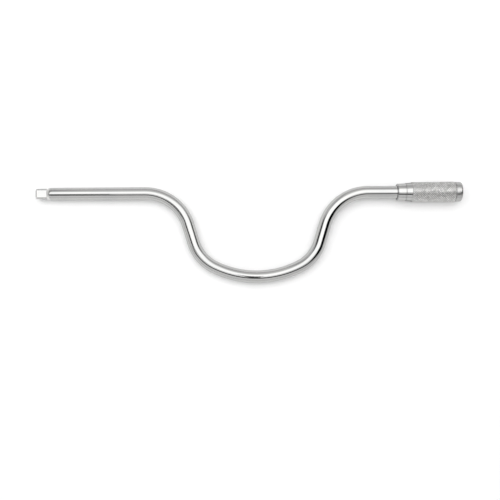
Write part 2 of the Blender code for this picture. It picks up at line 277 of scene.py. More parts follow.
def with_lay(bm):
    """Stores each vertex's own place as lay, for pieces that aren't bent."""
    lay = bm.verts.layers.float_vector.new("lay")
    for vert in bm.verts:
        vert[lay] = vert.co
    return bm


def combined(first, second, operation):
    """The bmesh that a Boolean of two closed bmeshes leaves."""
    objects = []
    for name, bm in (("operand_a", first), ("operand_b", second)):
        bmesh.ops.recalc_face_normals(bm, faces=bm.faces)
        mesh = bpy.data.meshes.new(name)
        bm.to_mesh(mesh)
        bm.free()
        obj = bpy.data.objects.new(name, mesh)
        bpy.context.scene.collection.objects.link(obj)
        objects.append(obj)
    cut = objects[0].modifiers.new("cut", "BOOLEAN")
    cut.operation = operation
    cut.solver = "EXACT"
    cut.object = objects[1]
    graph = bpy.context.evaluated_depsgraph_get()
    made = bmesh.new()
    made.from_mesh(objects[0].evaluated_get(graph).to_mesh())
    for obj in objects:
        mesh = obj.data
        bpy.data.objects.remove(obj)
        bpy.data.meshes.remove(mesh)
    return made


# Bar


def leg_length():
    """Length of each straight leg, which makes up the throw that the bends leave."""
    drop = (
        UPPER_BEND_RADIUS * (1 - math.cos(LEG_ANGLE))
        + LOWER_BEND_RADIUS * (math.cos(BOW_HALF_ANGLE) - math.cos(LEG_ANGLE))
        + BOW_RADIUS * (1 - math.cos(BOW_HALF_ANGLE))
    )
    return (THROW - drop) / math.sin(LEG_ANGLE)


def bow_places():
    """Centre line from the first bend to the end of the last one, as (x, y, heading, run so far)."""
    lower_turn = LEG_ANGLE - BOW_HALF_ANGLE
    places = [(DRIVE_STRAIGHT, 0, 0, DRIVE_STRAIGHT)]
    pieces = (
        (UPPER_BEND_RADIUS, -LEG_ANGLE),
        (leg_length(), 0),
        (LOWER_BEND_RADIUS, lower_turn),
        (BOW_RADIUS, 2 * BOW_HALF_ANGLE),
        (LOWER_BEND_RADIUS, lower_turn),
        (leg_length(), 0),
        (UPPER_BEND_RADIUS, -LEG_ANGLE),
    )
    for size, turn in pieces:
        x, y, heading, gone = places[-1]
        if not turn:
            x += size * math.cos(heading)
            y += size * math.sin(heading)
            places.append((x, y, heading, gone + size))
            continue
        side = math.copysign(1, turn)
        steps = math.ceil(abs(turn) / BEND_STEP)
        for i in range(1, steps + 1):
            now = heading + turn * i / steps
            places.append(
                (
                    x + side * size * (math.sin(now) - math.sin(heading)),
                    y - side * size * (math.cos(now) - math.cos(heading)),
                    now,
                    gone + size * abs(turn) * i / steps,
                )
            )
    return places


def section_angles():
    """Angles round the bar that fall on the edges of the square's flats."""
    edge = math.acos(TANG_HALF / TANG_CORNER_RADIUS)
    quarter = [-edge + 2 * edge * i / FLAT_STEPS for i in range(FLAT_STEPS)]
    quarter += [edge + (math.pi / 2 - 2 * edge) * i / CORNER_STEPS for i in range(CORNER_STEPS)]
    return [angle + turn * math.pi / 2 for turn in range(4) for angle in quarter]


def tang_radius(along, angle):
    """The square's radius at this angle: flats, rounded corners and a rounded front end."""
    folded = (angle + math.pi / 4) % (math.pi / 2) - math.pi / 4
    radius = min(TANG_HALF / math.cos(folded), TANG_CORNER_RADIUS)
    if along < TANG_END_RADIUS:
        sunk = TANG_END_RADIUS - math.sqrt(TANG_END_RADIUS**2 - (TANG_END_RADIUS - along) ** 2)
        radius *= 1 - sunk / TANG_HALF
    return radius


def nose_radius(along):
    """The bar's rounded front end, which rises steeply behind the square."""
    share = (along - TANG_LENGTH) / BAR_NOSE_LENGTH
    if share < 0:
        return BAR_RADIUS - BAR_NOSE_DROP + (along - TANG_LENGTH) * BAR_NOSE_STEEPNESS
    return BAR_RADIUS - BAR_NOSE_DROP * (1 - math.sqrt(1 - (1 - min(share, 1)) ** 2))


def drive_radius(along, angle):
    """Square and nose, blended by a small fillet at the square's root."""
    tang = tang_radius(along, angle)
    nose = nose_radius(along)
    fade = (TANG_LENGTH + ROOT_FILLET_END_SHARE * BAR_NOSE_LENGTH - along) / BAR_NOSE_LENGTH
    blend = TANG_ROOT_FILLET * min(max(fade, ROOT_FILLET_LEAST_SHARE), 1)
    share = max(blend - abs(tang - nose), 0) / blend
    return max(tang, nose) + share**2 * blend / 4


def drive_alongs():
    """Places of the rings from the square's end to the bar's full diameter."""
    tang_end = [math.pi / 2 * i / TANG_END_STEPS for i in range(TANG_END_STEPS + 1)]
    nose = [math.pi / 2 * i / NOSE_STEPS for i in range(NOSE_STEPS + 1)]
    alongs = [TANG_END_RADIUS * (1 - math.cos(turn)) for turn in tang_end]
    alongs += TANG_RINGS
    alongs += [TANG_LENGTH - ROOT_RINGS_LEAD + ROOT_RING_SPACING * i for i in range(ROOT_RING_COUNT)]
    alongs += [TANG_LENGTH + BAR_NOSE_LENGTH * (1 - math.cos(turn)) for turn in nose]
    return alongs


def bar_mesh():
    """Square drive, bent bar and journal as one loft, with the ball's bore cut out."""
    angles = section_angles()
    rings, lays = [], []

    def add_ring(x, y, heading, gone, radii):
        across = [radius * math.cos(angle) for radius, angle in zip(radii, angles)]
        up = [radius * math.sin(angle) for radius, angle in zip(radii, angles)]
        rings.append(
            [
                Vector((x - a * math.sin(heading), y + a * math.cos(heading), u))
                for a, u in zip(across, up)
            ]
        )
        lays.append([Vector((gone, a, u)) for a, u in zip(across, up)])

    for along in drive_alongs():
        add_ring(along, 0, 0, along, [drive_radius(along, angle) for angle in angles])
    for x, y, heading, gone in bow_places():
        add_ring(x, y, heading, gone, [BAR_RADIUS] * len(angles))
    last_x, _, _, last_gone = bow_places()[-1]
    journal = (
        (0, BAR_RADIUS),
        (SHOULDER - EDGE_BREAK, BAR_RADIUS),
        (SHOULDER, BAR_RADIUS - EDGE_BREAK),
        (SHOULDER, JOURNAL_RADIUS),
        (GROOVE_FRONT, JOURNAL_RADIUS),
        (GROOVE_FRONT, GROOVE_RADIUS),
        (GROOVE_REAR, GROOVE_RADIUS),
        (GROOVE_REAR, JOURNAL_RADIUS),
        (JOURNAL_END - JOURNAL_CHAMFER, JOURNAL_RADIUS),
        (JOURNAL_END, JOURNAL_RADIUS - JOURNAL_CHAMFER),
    )
    for along, radius in journal:
        x = GRIP_FACE + along
        add_ring(x, 0, 0, last_gone + x - last_x, [radius] * len(angles))
    return combined(loft(rings, lays), ball_bore(), "DIFFERENCE")


def ball_bore():
    """Blind bore whose mouth is closed in over the ball, with a small pressed lip."""
    radius = BALL_RADIUS + BORE_CLEARANCE
    mouth = math.sqrt(radius**2 - BALL_DEPTH**2)
    profile = [
        (-BORE_OVERRUN, 0),
        (-BORE_OVERRUN, mouth + BORE_LIP),
        (0, mouth + BORE_LIP),
        (BORE_LIP, mouth),
    ]
    for i in range(1, BORE_MOUTH_STEPS + 1):
        depth = BORE_LIP + (BALL_DEPTH - BORE_LIP) * i / BORE_MOUTH_STEPS
        profile.append((depth, math.sqrt(radius**2 - (BALL_DEPTH - depth) ** 2)))
    profile += [(BORE_DEPTH, radius), (BORE_DEPTH, 0)]
    bm = bmesh.new()
    verts = [bm.verts.new((across, 0, depth)) for depth, across in profile]
    edges = [bm.edges.new(pair) for pair in zip(verts, verts[1:])]
    bmesh.ops.spin(
        bm,
        geom=verts + edges,
        cent=(0, 0, 0),
        axis=(0, 0, 1),
        angle=2 * math.pi,
        steps=BALL_SIDES,
        use_merge=True,
    )
    bmesh.ops.remove_doubles(bm, verts=bm.verts, dist=MERGE_DISTANCE)
    turn = Matrix.Translation((BALL_SETBACK, -TANG_HALF, 0)) @ Matrix.Rotation(-math.pi / 2, 4, "X")
    bm.transform(turn)
    return bm


def ball_mesh():
    """The ball, a little proud of the flat that faces -Y."""
    bm = bmesh.new()
    bmesh.ops.create_uvsphere(bm, u_segments=BALL_SIDES, v_segments=BALL_RINGS, radius=BALL_RADIUS)
    bmesh.ops.translate(bm, verts=bm.verts, vec=(BALL_SETBACK, BALL_DEPTH - TANG_HALF, 0))
    return with_lay(bm)


def spring_ends():
    """Depths below the flat of the wire's middle where it meets the ball and at its rear end."""
    reach = BALL_RADIUS + SPRING_WIRE_RADIUS + BORE_CLEARANCE
    front = BALL_DEPTH + math.sqrt(reach**2 - SPRING_COIL_RADIUS**2)
    return front, BORE_DEPTH - SPRING_WIRE_RADIUS - BORE_CLEARANCE


def spring_mesh():
    """A compression spring with closed end turns, from the ball to the bottom of its bore."""
    front, rear = spring_ends()
    active_pitch = (rear - front - 2 * SPRING_END_PITCH) / (SPRING_TURNS - 2)
    rings = []
    for i in range(SPRING_TURNS * SPRING_TURN_STEPS + 1):
        turns = i / SPRING_TURN_STEPS
        end_turns = min(turns, 1) + max(turns - (SPRING_TURNS - 1), 0)
        depth = front + end_turns * SPRING_END_PITCH + (turns - end_turns) * active_pitch
        angle = 2 * math.pi * turns
        outward = Vector((math.cos(angle), 0, -math.sin(angle)))
        in_end_turn = turns <= 1 or turns >= SPRING_TURNS - 1
        rise = SPRING_END_PITCH if in_end_turn else active_pitch
        onward = Vector((-math.sin(angle), 0, -math.cos(angle))) * SPRING_COIL_RADIUS
        onward.y = rise / (2 * math.pi)
        sideways = onward.normalized().cross(outward)
        middle = Vector((BALL_SETBACK, depth - TANG_HALF, 0)) + SPRING_COIL_RADIUS * outward
        ring = []
        for side in range(SPRING_WIRE_SIDES):
            round_wire = 2 * math.pi * side / SPRING_WIRE_SIDES
            across = outward * math.cos(round_wire) + sideways * math.sin(round_wire)
            ring.append(middle + SPRING_WIRE_RADIUS * across)
        rings.append(ring)
    return loft(rings, rings)


# Grip


def collar_mesh():
    """The plain ring in front, with the spigot that sits in the sleeve."""
    profile = [
        (COLLAR_SPIGOT_END, COLLAR_BORE, 0),
        (0, COLLAR_BORE, BROKEN_EDGE),
        (0, COLLAR_FRONT_RADIUS - COLLAR_CHAMFER_DROP, FACE_EDGE),
        (COLLAR_CHAMFER_LENGTH, COLLAR_FRONT_RADIUS, SOFT_EDGE),
        (COLLAR_LENGTH, COLLAR_REAR_RADIUS, RIM_EDGE),
        (COLLAR_LENGTH, SPIGOT_RADIUS, CRISP_EDGE),
        (COLLAR_SPIGOT_END, SPIGOT_RADIUS, BROKEN_EDGE),
        (COLLAR_SPIGOT_END, COLLAR_BORE, 0),
    ]
    return with_lay(turned(filleted(profile)[:-1]))


def sleeve_blank():
    """The sleeve's turned outline, whose band stands over the diamonds' tips and cuts none of them."""
    over = KNURL_BLANK_OVERSIZE
    profile = [
        (SLEEVE_REAR, SLEEVE_BORE, 0),
        (LAND_REAR, SLEEVE_BORE, 0),
        (LAND_REAR, LAND_BORE, INNER_EDGE),
        (LAND_FRONT, LAND_BORE, INNER_EDGE),
        (LAND_FRONT, SLEEVE_BORE, 0),
        (SLEEVE_FRONT, SLEEVE_BORE, INNER_EDGE),
        (SLEEVE_FRONT, NOSE_FRONT_RADIUS, RIM_EDGE),
        (KNURL_FRONT - NOSE_FLARE_LENGTH, NOSE_REAR_RADIUS - NOSE_FLARE_DROP, NOSE_FLARE_ROUNDING),
        (KNURL_FRONT, NOSE_REAR_RADIUS, 0),
        (KNURL_FRONT, KNURL_FRONT_RADIUS - KNURL_CHAMFER, 0),
        (KNURL_FRONT + KNURL_CHAMFER + over, KNURL_FRONT_RADIUS + over, 0),
        (SLEEVE_REAR - KNURL_CHAMFER - over, KNURL_REAR_RADIUS + over, 0),
        (SLEEVE_REAR, KNURL_REAR_RADIUS - KNURL_CHAMFER, 0),
    ]
    return turned(filleted(profile))


def knurl_tip_radius(along):
    """The knurl tapers a little: radius over its tips, at a place behind the collar's face."""
    slope = (KNURL_REAR_RADIUS - KNURL_FRONT_RADIUS) / (SLEEVE_REAR - KNURL_FRONT)
    return KNURL_FRONT_RADIUS + slope * (along - KNURL_FRONT)


def knurled_rod():
    """A closed rod whose surface is the crossed helices of a diamond knurl, longer than the sleeve.

    Steps count half diamonds along the axis and round it. Groove crossings lie on the even steps
    and diamond tips on the odd ones.
    """
    chance = random.Random(KNURL_SEED)
    half_length = KNURL_DIAMOND_LENGTH / 2
    first = math.floor((SLEEVE_FRONT - KNURL_ROD_OVERRUN) / half_length)
    last = math.ceil((SLEEVE_REAR + KNURL_ROD_OVERRUN) / half_length)
    bm = bmesh.new()

    def vertex(step, turn, depth):
        along = step * half_length
        radius = knurl_tip_radius(along) - depth
        angle = turn * math.pi / KNURL_STARTS
        return bm.verts.new((GRIP_FACE + along, radius * math.cos(angle), radius * math.sin(angle)))

    crossings = {}
    for step in range(first, last + 1):
        for turn in range(step % 2, 2 * KNURL_STARTS, 2):
            crossings[step, turn] = vertex(step, turn, KNURL_DEPTH)
    corners = ((-1, 0), (0, 1), (1, 0), (0, -1))
    for step in range(first + 1, last):
        for turn in range((step + 1) % 2, 2 * KNURL_STARTS, 2):
            loop = [
                crossings[step + along, (turn + round_it) % (2 * KNURL_STARTS)]
                for along, round_it in corners
            ]
            lean_along, lean_round = (chance.uniform(-KNURL_TIP_LEAN, KNURL_TIP_LEAN) for _ in range(2))
            worn = chance.uniform(0, KNURL_TIP_VARIATION) + max(abs(lean_along), abs(lean_round))
            for share, sunk_share in KNURL_RING_SHARES:
                inner = []
                for along, round_it in corners:
                    lean = share * (lean_along * along + lean_round * round_it)
                    depth = KNURL_DEPTH * sunk_share + (worn + lean) * (1 - sunk_share)
                    inner.append(vertex(step + along * share, turn + round_it * share, depth))
                for i in range(len(corners)):
                    j = (i + 1) % len(corners)
                    bm.faces.new((loop[i], loop[j], inner[j], inner[i]))
                loop = inner
            bm.faces.new(loop)
    for step, inward in ((first, 1), (last, -1)):
        centre = bm.verts.new((GRIP_FACE + step * half_length, 0, 0))
        rim = []
        for turn in range(2 * KNURL_STARTS):
            at = step if (turn - step) % 2 == 0 else step + inward
            rim.append(crossings[at, turn])
        for i, vert in enumerate(rim):
            bm.faces.new((vert, rim[(i + 1) % len(rim)], centre))
    return bm


def sleeve_mesh():
    """The knurled sleeve, with each vertex's share of the knurl's depth stored as groove."""
    bm = with_lay(combined(knurled_rod(), sleeve_blank(), "INTERSECT"))
    groove = bm.verts.layers.float.new("groove")
    for vert in bm.verts:
        along = vert.co.x - GRIP_FACE
        if along > KNURL_FRONT - KNURL_TOLERANCE:
            chamfered = not KNURL_FRONT + KNURL_CHAMFER < along < SLEEVE_REAR - KNURL_CHAMFER
            depth = knurl_tip_radius(along) - math.hypot(vert.co.y, vert.co.z)
            vert[groove] = min(max(depth / KNURL_DEPTH, 0), KNURL_CHAMFER_SHARE if chamfered else 1)
    return bm


def cap_mesh():
    """The plain cap, with its hollow spigot in front and a round edge behind."""
    profile = [
        (CAP_FLOOR, 0, 0),
        (CAP_FLOOR, CAP_HOLLOW, BROKEN_EDGE),
        (CAP_SPIGOT_FRONT, CAP_HOLLOW, 0),
        (CAP_SPIGOT_FRONT, SPIGOT_RADIUS, RIM_EDGE),
        (CAP_FRONT, SPIGOT_RADIUS, CRISP_EDGE),
        (CAP_FRONT, CAP_RADIUS, RIM_EDGE),
    ]
    points = filleted([*profile, (CAP_REAR, CAP_RADIUS, 0)])[:-1]
    for i in range(CAP_EDGE_STEPS + 1):
        turn = math.pi / 2 * i / CAP_EDGE_STEPS
        points.append(
            (
                CAP_REAR - CAP_EDGE_RADIUS * (1 - math.sin(turn)),
                CAP_RADIUS - CAP_EDGE_RADIUS * (1 - math.cos(turn)),
            )
        )
    points.append((CAP_REAR, 0))
    return with_lay(turned(points, closed=False))


# Materials

PLATE = (0.494, 0.493, 0.487)
PLATE_COOL = (0.48, 0.481, 0.478)
PLATE_WARM = (0.508, 0.505, 0.496)
# The cap's plate: a darker copy of the plate, painted shade
PLATE_SHADED_COOL = (0.43, 0.431, 0.428)
PLATE_SHADED_WARM = (0.456, 0.453, 0.445)
# Satin root lifted as painted sheen, and the square's front edge as a painted reflection
PLATE_SATIN_SHEEN = (0.76, 0.757, 0.747)
PLATE_FRONT_SHEEN = (0.88, 0.877, 0.87)
# Painted shade on the collar's front chamfer
PLATE_CHAMFER_SHADE = (0.36, 0.36, 0.36)
# Knurl: tips lifted toward painted glints, grooves darkened as painted shade
KNURL_TIP_DULL = (0.56, 0.556, 0.548)
KNURL_TIP_GLINT = (0.98, 0.974, 0.96)
KNURL_GROOVE_SHADE = (0.1, 0.099, 0.097)
BALL_STEEL = (0.56, 0.57, 0.58)
BALL_STEEL_DARK = (0.5, 0.5, 0.5)
BALL_STEEL_PALE = (0.6, 0.61, 0.62)
SPRING_STEEL = (0.2, 0.2, 0.22)
SPRING_BLUE = (0.16, 0.17, 0.2)
SPRING_STRAW = (0.27, 0.24, 0.2)
WASHER_STEEL = (0.44, 0.44, 0.45)
WASHER_DARK = (0.38, 0.38, 0.385)
WASHER_PALE = (0.5, 0.5, 0.505)
BRONZE = (0.5, 0.33, 0.17)
BRONZE_DARK = (0.46, 0.3, 0.15)
BRONZE_PALE = (0.58, 0.39, 0.21)
BRONZE_PORE = (0.16, 0.1, 0.05)
# Tints of the plate where it is seen edge on
PLATE_EDGE = (0.85, 0.85, 0.85, 1)
# The knurl's edge tint is dark: painted shade where the knurl is seen edge on
KNURL_EDGE_SHADE = (0.2, 0.2, 0.2, 1)


class Shader:
    """A material's node tree with its Principled shader and short calls for its nodes."""

    def __init__(self, name, colour, roughness, metallic=1):
        self.material = bpy.data.materials.new(name)
        self.material.use_nodes = True
        self.tree = self.material.node_tree
        self.principled = self.tree.nodes["Principled BSDF"]
        self.set("Base Color", (*colour, 1))
        self.set("Metallic", metallic)
        self.set("Roughness", roughness)

    def set(self, socket, value):
        if isinstance(value, bpy.types.NodeSocket):
            self.tree.links.new(value, self.principled.inputs[socket])
        else:
            self.principled.inputs[socket].default_value = value

    def node(self, kind, inputs=(), **settings):
        made = self.tree.nodes.new(kind)
        for key, value in settings.items():
            setattr(made, key, value)
        for key, value in dict(inputs).items():
            if isinstance(value, bpy.types.NodeSocket):
                self.tree.links.new(value, made.inputs[key])
            else:
                made.inputs[key].default_value = value
        return made

    def lay(self):
        return self.node("ShaderNodeAttribute", attribute_name="lay").outputs["Vector"]

    def place(self):
        return self.node("ShaderNodeTexCoord").outputs["Object"]

    def stretched(self, vector, scale, turn=(0, 0, 0)):
        made = self.node("ShaderNodeMapping", {"Vector": vector, "Scale": scale, "Rotation": turn})
        return made.outputs["Vector"]

    def noise(self, vector, scale=1.0, detail=3.0):
        made = self.node("ShaderNodeTexNoise", {"Vector": vector, "Scale": scale, "Detail": detail})
        return made.outputs["Fac"]

    def ramp(self, value, low, high, to_low=0.0, to_high=1.0, smooth=False):
        made = self.node(
            "ShaderNodeMapRange",
            {"Value": value, "From Min": low, "From Max": high, "To Min": to_low, "To Max": to_high},
            interpolation_type="SMOOTHSTEP" if smooth else "LINEAR",
        )
        return made.outputs["Result"]

    def glowing(self, strength):
        """Turns the material into a plain glow of this strength."""
        light = self.node("ShaderNodeEmission", {"Strength": strength})
        self.tree.links.new(light.outputs[0], self.tree.nodes["Material Output"].inputs["Surface"])
        self.tree.nodes.remove(self.principled)
        return self.material

    def math(self, operation, a, b=0.0):
        made = self.node("ShaderNodeMath", {0: a, 1: b}, operation=operation)
        return made.outputs["Value"]

    def mix(self, factor, a, b):
        made = self.node("ShaderNodeMix", data_type="RGBA")
        for socket, value in ((made.inputs[0], factor), (made.inputs[6], a), (made.inputs[7], b)):
            if isinstance(value, bpy.types.NodeSocket):
                self.tree.links.new(value, socket)
            else:
                socket.default_value = (*value, 1)
        return made.outputs[2]

    def blotches(self, broad, first, second):
        """Two colours in soft blotches, which follow a broad noise."""
        return self.mix(self.ramp(broad, 0.35, 0.65), first, second)

    def ring_noise(self, vector, scale, detail):
        """Noise that is the same all round a turned piece, 0 to 1."""
        made = self.node(
            "ShaderNodeTexNoise",
            {"W": self.ring_place(vector), "Scale": scale, "Detail": detail},
            noise_dimensions="1D",
        )
        return made.outputs["Fac"]

    def bump(self, height, distance, normal=None):
        inputs = {"Height": height, "Distance": distance}
        if normal is not None:
            inputs["Normal"] = normal
        return self.node("ShaderNodeBump", inputs).outputs["Normal"]

    def ring_place(self, vector):
        """One number that grows along a turned piece and out over its faces, for lathe lines."""
        split = self.node("ShaderNodeSeparateXYZ", {"Vector": vector})
        y, z = split.outputs["Y"], split.outputs["Z"]
        squares = self.math("ADD", self.math("MULTIPLY", y, y), self.math("MULTIPLY", z, z))
        return self.math("ADD", split.outputs["X"], self.math("SQRT", squares))


def scratches(shader, vector, turn, scale):
    """Sparse hairlines, 0 to 1, long in one direction."""
    lines = shader.noise(shader.stretched(vector, (scale * 0.02, scale, scale), turn), detail=2.0)
    patches = shader.noise(vector, 90.0, 1.0)
    return shader.math("MULTIPLY", shader.ramp(lines, 0.66, 0.74), shader.ramp(patches, 0.45, 0.65))


def bar_chrome():
    """Bright plate; satin round the square's root, with its colour lifted there as painted sheen, and a
    painted reflection lightening its front edge.
    """
    shader = Shader("bar_chrome", PLATE, 0.05)
    shader.set("Specular Tint", PLATE_EDGE)
    lay = shader.lay()
    polish = shader.noise(shader.stretched(lay, (60, 2600, 2600)), detail=4.0)
    broad = shader.noise(lay, 35.0, 2.0)
    hairlines = shader.math(
        "MAXIMUM",
        scratches(shader, lay, (0, 0.25, 0.3), 3800),
        scratches(shader, lay, (0, -0.4, -0.22), 4400),
    )
    along = shader.node("ShaderNodeSeparateXYZ", {"Vector": lay}).outputs["X"]
    root = shader.math(
        "MULTIPLY",
        shader.ramp(along, TANG_LENGTH - 0.3 * MM, TANG_LENGTH - 0.15 * MM),
        shader.ramp(along, TANG_LENGTH + 3.1 * MM, TANG_LENGTH + 1.1 * MM, smooth=True),
    )
    # Painted reflection: the square's front edge is painted lighter, standing in for the light it
    # mirrors.
    front_sheen = shader.math(
        "MULTIPLY",
        shader.ramp(along, 0.02 * MM, 0.12 * MM),
        shader.ramp(along, 0.9 * MM, 0.5 * MM),
    )
    # Painted sheen: the satin root's colour is lifted above the plate's own, standing in for reflected
    # light.
    colour = shader.mix(root, shader.blotches(broad, PLATE_COOL, PLATE_WARM), PLATE_SATIN_SHEEN)
    shader.set("Base Color", shader.mix(front_sheen, colour, PLATE_FRONT_SHEEN))
    roughness = shader.math(
        "ADD",
        shader.ramp(polish, 0.3, 0.7, 0.035, 0.065),
        shader.ramp(broad, 0.4, 0.7, 0.0, 0.02),
    )
    roughness = shader.math("ADD", roughness, shader.math("MULTIPLY", hairlines, 0.12))
    shader.set("Roughness", shader.math("ADD", roughness, shader.math("MULTIPLY", root, 0.45)))
    peel = shader.bump(shader.noise(lay, 420.0, 2.0), 0.0012 * MM)
    lines = shader.bump(polish, 0.0004 * MM, peel)
    shader.set("Normal", shader.bump(hairlines, 0.0006 * MM, lines))
    return shader.material


def turned_chrome(name, roughness, cool, warm):
    """Polished plate over turned steel, duller on the collar's front chamfer, where painted shade also
    darkens it.
    """
    shader = Shader(name, PLATE, roughness)
    shader.set("Specular Tint", PLATE_EDGE)
    lay = shader.lay()
    rings = shader.ring_noise(lay, 5200.0, 3.0)
    broad = shader.noise(lay, 140.0, 3.0)
    marks = scratches(shader, lay, (0.2, 0.9, 0.5), 4200)
    along = shader.node("ShaderNodeSeparateXYZ", {"Vector": lay}).outputs["X"]
    edge = GRIP_FACE + COLLAR_CHAMFER_LENGTH
    chamfer = shader.ramp(along, edge + 0.05 * MM, edge - 0.1 * MM)
    plate = shader.blotches(broad, cool, warm)
    # Painted shade: the collar's front chamfer is painted darker, standing in for the shade and dark
    # reflections there.
    shader.set("Base Color", shader.mix(chamfer, plate, PLATE_CHAMFER_SHADE))
    rough = shader.math(
        "ADD",
        shader.ramp(rings, 0.3, 0.7, roughness - 0.02, roughness + 0.03),
        shader.ramp(broad, 0.4, 0.7, 0.0, 0.03),
    )
    rough = shader.math("ADD", rough, shader.math("MULTIPLY", marks, 0.1))
    shader.set("Roughness", shader.math("ADD", rough, shader.math("MULTIPLY", chamfer, 0.08)))
    shader.set("Normal", shader.bump(marks, 0.0006 * MM, shader.bump(rings, 0.0012 * MM)))
    return shader.material


def diamond_chance(shader, place):
    """A number from 0 to 1 for each diamond of the knurl, from the split place of a point on it."""
    along = shader.math("SUBTRACT", place.outputs["X"], GRIP_FACE)
    along = shader.math("DIVIDE", along, KNURL_DIAMOND_LENGTH)
    turn = shader.math("ARCTAN2", place.outputs["Z"], place.outputs["Y"])
    turn = shader.math("MULTIPLY", turn, KNURL_STARTS / (2 * math.pi))
    first = shader.math("FLOOR", shader.math("ADD", along, turn))
    second = shader.math("FLOOR", shader.math("SUBTRACT", along, turn))
    cell = shader.node("ShaderNodeCombineXYZ", {"X": first, "Y": second}).outputs["Vector"]
    return shader.node("ShaderNodeTexWhiteNoise", {"Vector": cell}).outputs["Value"]


def knurled_chrome():
    """Satin plate: tips lighter in a tone that differs at random from diamond to diamond, partly wear and
    partly painted glints; grooves duller and darkened by painted shade. The plain nose is polished.
    """
    shader = Shader("knurled_chrome", PLATE, 0.25)
    # Painted shade: a dark edge tint darkens the knurl where it is seen edge on.
    shader.set("Specular Tint", KNURL_EDGE_SHADE)
    lay = shader.lay()
    groove = shader.node("ShaderNodeAttribute", attribute_name="groove").outputs["Fac"]
    split = shader.node("ShaderNodeSeparateXYZ", {"Vector": lay})
    knurl_start = GRIP_FACE + KNURL_FRONT
    knurl = shader.ramp(split.outputs["X"], knurl_start - 0.05 * MM, knurl_start)
    grain = shader.noise(lay, 5200.0, 3.0)
    patches = shader.noise(lay, 260.0, 3.0)
    rings = shader.ring_noise(lay, 5200.0, 3.0)
    # Tip tone: random from diamond to diamond and in patches, partly wear and partly painted glints.
    worn = shader.math(
        "ADD",
        shader.ramp(patches, 0.3, 0.7, 0.1, 0.3),
        shader.ramp(diamond_chance(shader, split), 0, 1, 0.0, 0.6),
    )
    tip_plate = shader.mix(worn, KNURL_TIP_DULL, KNURL_TIP_GLINT)
    # Painted shade: the grooves are painted darker than the tips.
    diamonds = shader.mix(shader.ramp(groove, 0.4, 1.0), tip_plate, KNURL_GROOVE_SHADE)
    shader.set("Base Color", shader.mix(knurl, PLATE, diamonds))
    tips = shader.ramp(worn, 0, 1, 0.49, 0.28)
    satin = shader.math("ADD", tips, shader.math("MULTIPLY", groove, 0.12))
    satin = shader.math("ADD", satin, shader.ramp(grain, 0.3, 0.7, -0.04, 0.06))
    plain = shader.ramp(rings, 0.3, 0.7, 0.06, 0.11)
    roughness = shader.node("ShaderNodeMix", data_type="FLOAT")
    for socket, value in ((0, knurl), (2, plain), (3, satin)):
        shader.tree.links.new(value, roughness.inputs[socket])
    shader.set("Roughness", roughness.outputs[0])
    coarse = shader.bump(shader.math("MULTIPLY", grain, knurl), 0.006 * MM)
    shader.set("Normal", shader.bump(rings, 0.001 * MM, coarse))
    return shader.material


def ball_steel():
    """Ground and polished steel with a few fine scratches."""
    shader = Shader("polished_steel", BALL_STEEL, 0.09)
    lay = shader.lay()
    marks = scratches(shader, lay, (0.5, 0.3, 1.1), 6000)
    broad = shader.noise(lay, 900.0, 3.0)
    colour = shader.mix(shader.ramp(broad, 0.3, 0.7), BALL_STEEL_DARK, BALL_STEEL_PALE)
    shader.set("Base Color", colour)
    roughness = shader.ramp(broad, 0.3, 0.7, 0.07, 0.13)
    shader.set("Roughness", shader.math("ADD", roughness, shader.math("MULTIPLY", marks, 0.15)))
    shader.set("Normal", shader.bump(marks, 0.001 * MM))
    return shader.material


def spring_steel():
    """Oil-blackened spring steel, straw to blue where it was tempered."""
    shader = Shader("tempered_steel", SPRING_STEEL, 0.3)
    place = shader.place()
    broad = shader.noise(place, 700.0, 3.0)
    grain = shader.noise(place, 6000.0, 3.0)
    shader.set("Base Color", shader.blotches(broad, SPRING_BLUE, SPRING_STRAW))
    shader.set("Roughness", shader.ramp(grain, 0.3, 0.7, 0.24, 0.4))
    shader.set("Normal", shader.bump(grain, 0.002 * MM))
    return shader.material


def washer_steel():
    """Ground steel with rub marks round its faces."""
    shader = Shader("ground_steel", WASHER_STEEL, 0.3)
    place = shader.place()
    rings = shader.ring_noise(place, 3600.0, 4.0)
    broad = shader.noise(place, 500.0, 3.0)
    shader.set("Base Color", shader.blotches(broad, WASHER_DARK, WASHER_PALE))
    shader.set("Roughness", shader.ramp(rings, 0.3, 0.7, 0.24, 0.42))
    shader.set("Normal", shader.bump(rings, 0.003 * MM))
    return shader.material


def sintered_bronze():
    """Porous bronze: dark oil-filled pores in a pressed surface."""
    shader = Shader("sintered_bronze", BRONZE, 0.4)
    place = shader.place()
    pores = shader.node("ShaderNodeTexVoronoi", {"Vector": place, "Scale": 5200.0}, feature="F1")
    pressed = shader.ramp(pores.outputs["Distance"], 0.12, 0.3)
    broad = shader.noise(place, 600.0, 3.0)
    metal = shader.blotches(broad, BRONZE_DARK, BRONZE_PALE)
    shader.set("Base Color", shader.mix(pressed, BRONZE_PORE, metal))
    shader.set("Roughness", shader.ramp(broad, 0.3, 0.7, 0.34, 0.5))
    shader.set("Normal", shader.bump(pressed, 0.01 * MM))
    return shader.material


# Studio

OBJECT_CENTRE = (0.2, -0.04)

# What the metal mirrors: light cloth all round, a softbox above toward +Y, and dark gaps and gear
TENT_RADIUS = 4.0
TENT_SIDES = 48
TENT_RINGS = 24
TENT_OVERHEAD = 1.0
TENT_X_LEAN = -0.08
TENT_Y_LEAN = -0.09
TENT_FALL = 0.2
SOFTBOX_HEIGHT = 1.7
SOFTBOX_X_ANGLES = (-38, 52)
SOFTBOX_EVEN_X_ANGLES = (-27, 42)
SOFTBOX_Y_ANGLES = (-4.5, 58)
SOFTBOX_FADE_Y_ANGLES = (28, 47)
SOFTBOX_FADE_SLANT = 0.2
SOFTBOX_SLANT = -0.2
SOFTBOX_RADIANCE = 2.0
SOFTBOX_EDGE_RADIANCE = 0.9
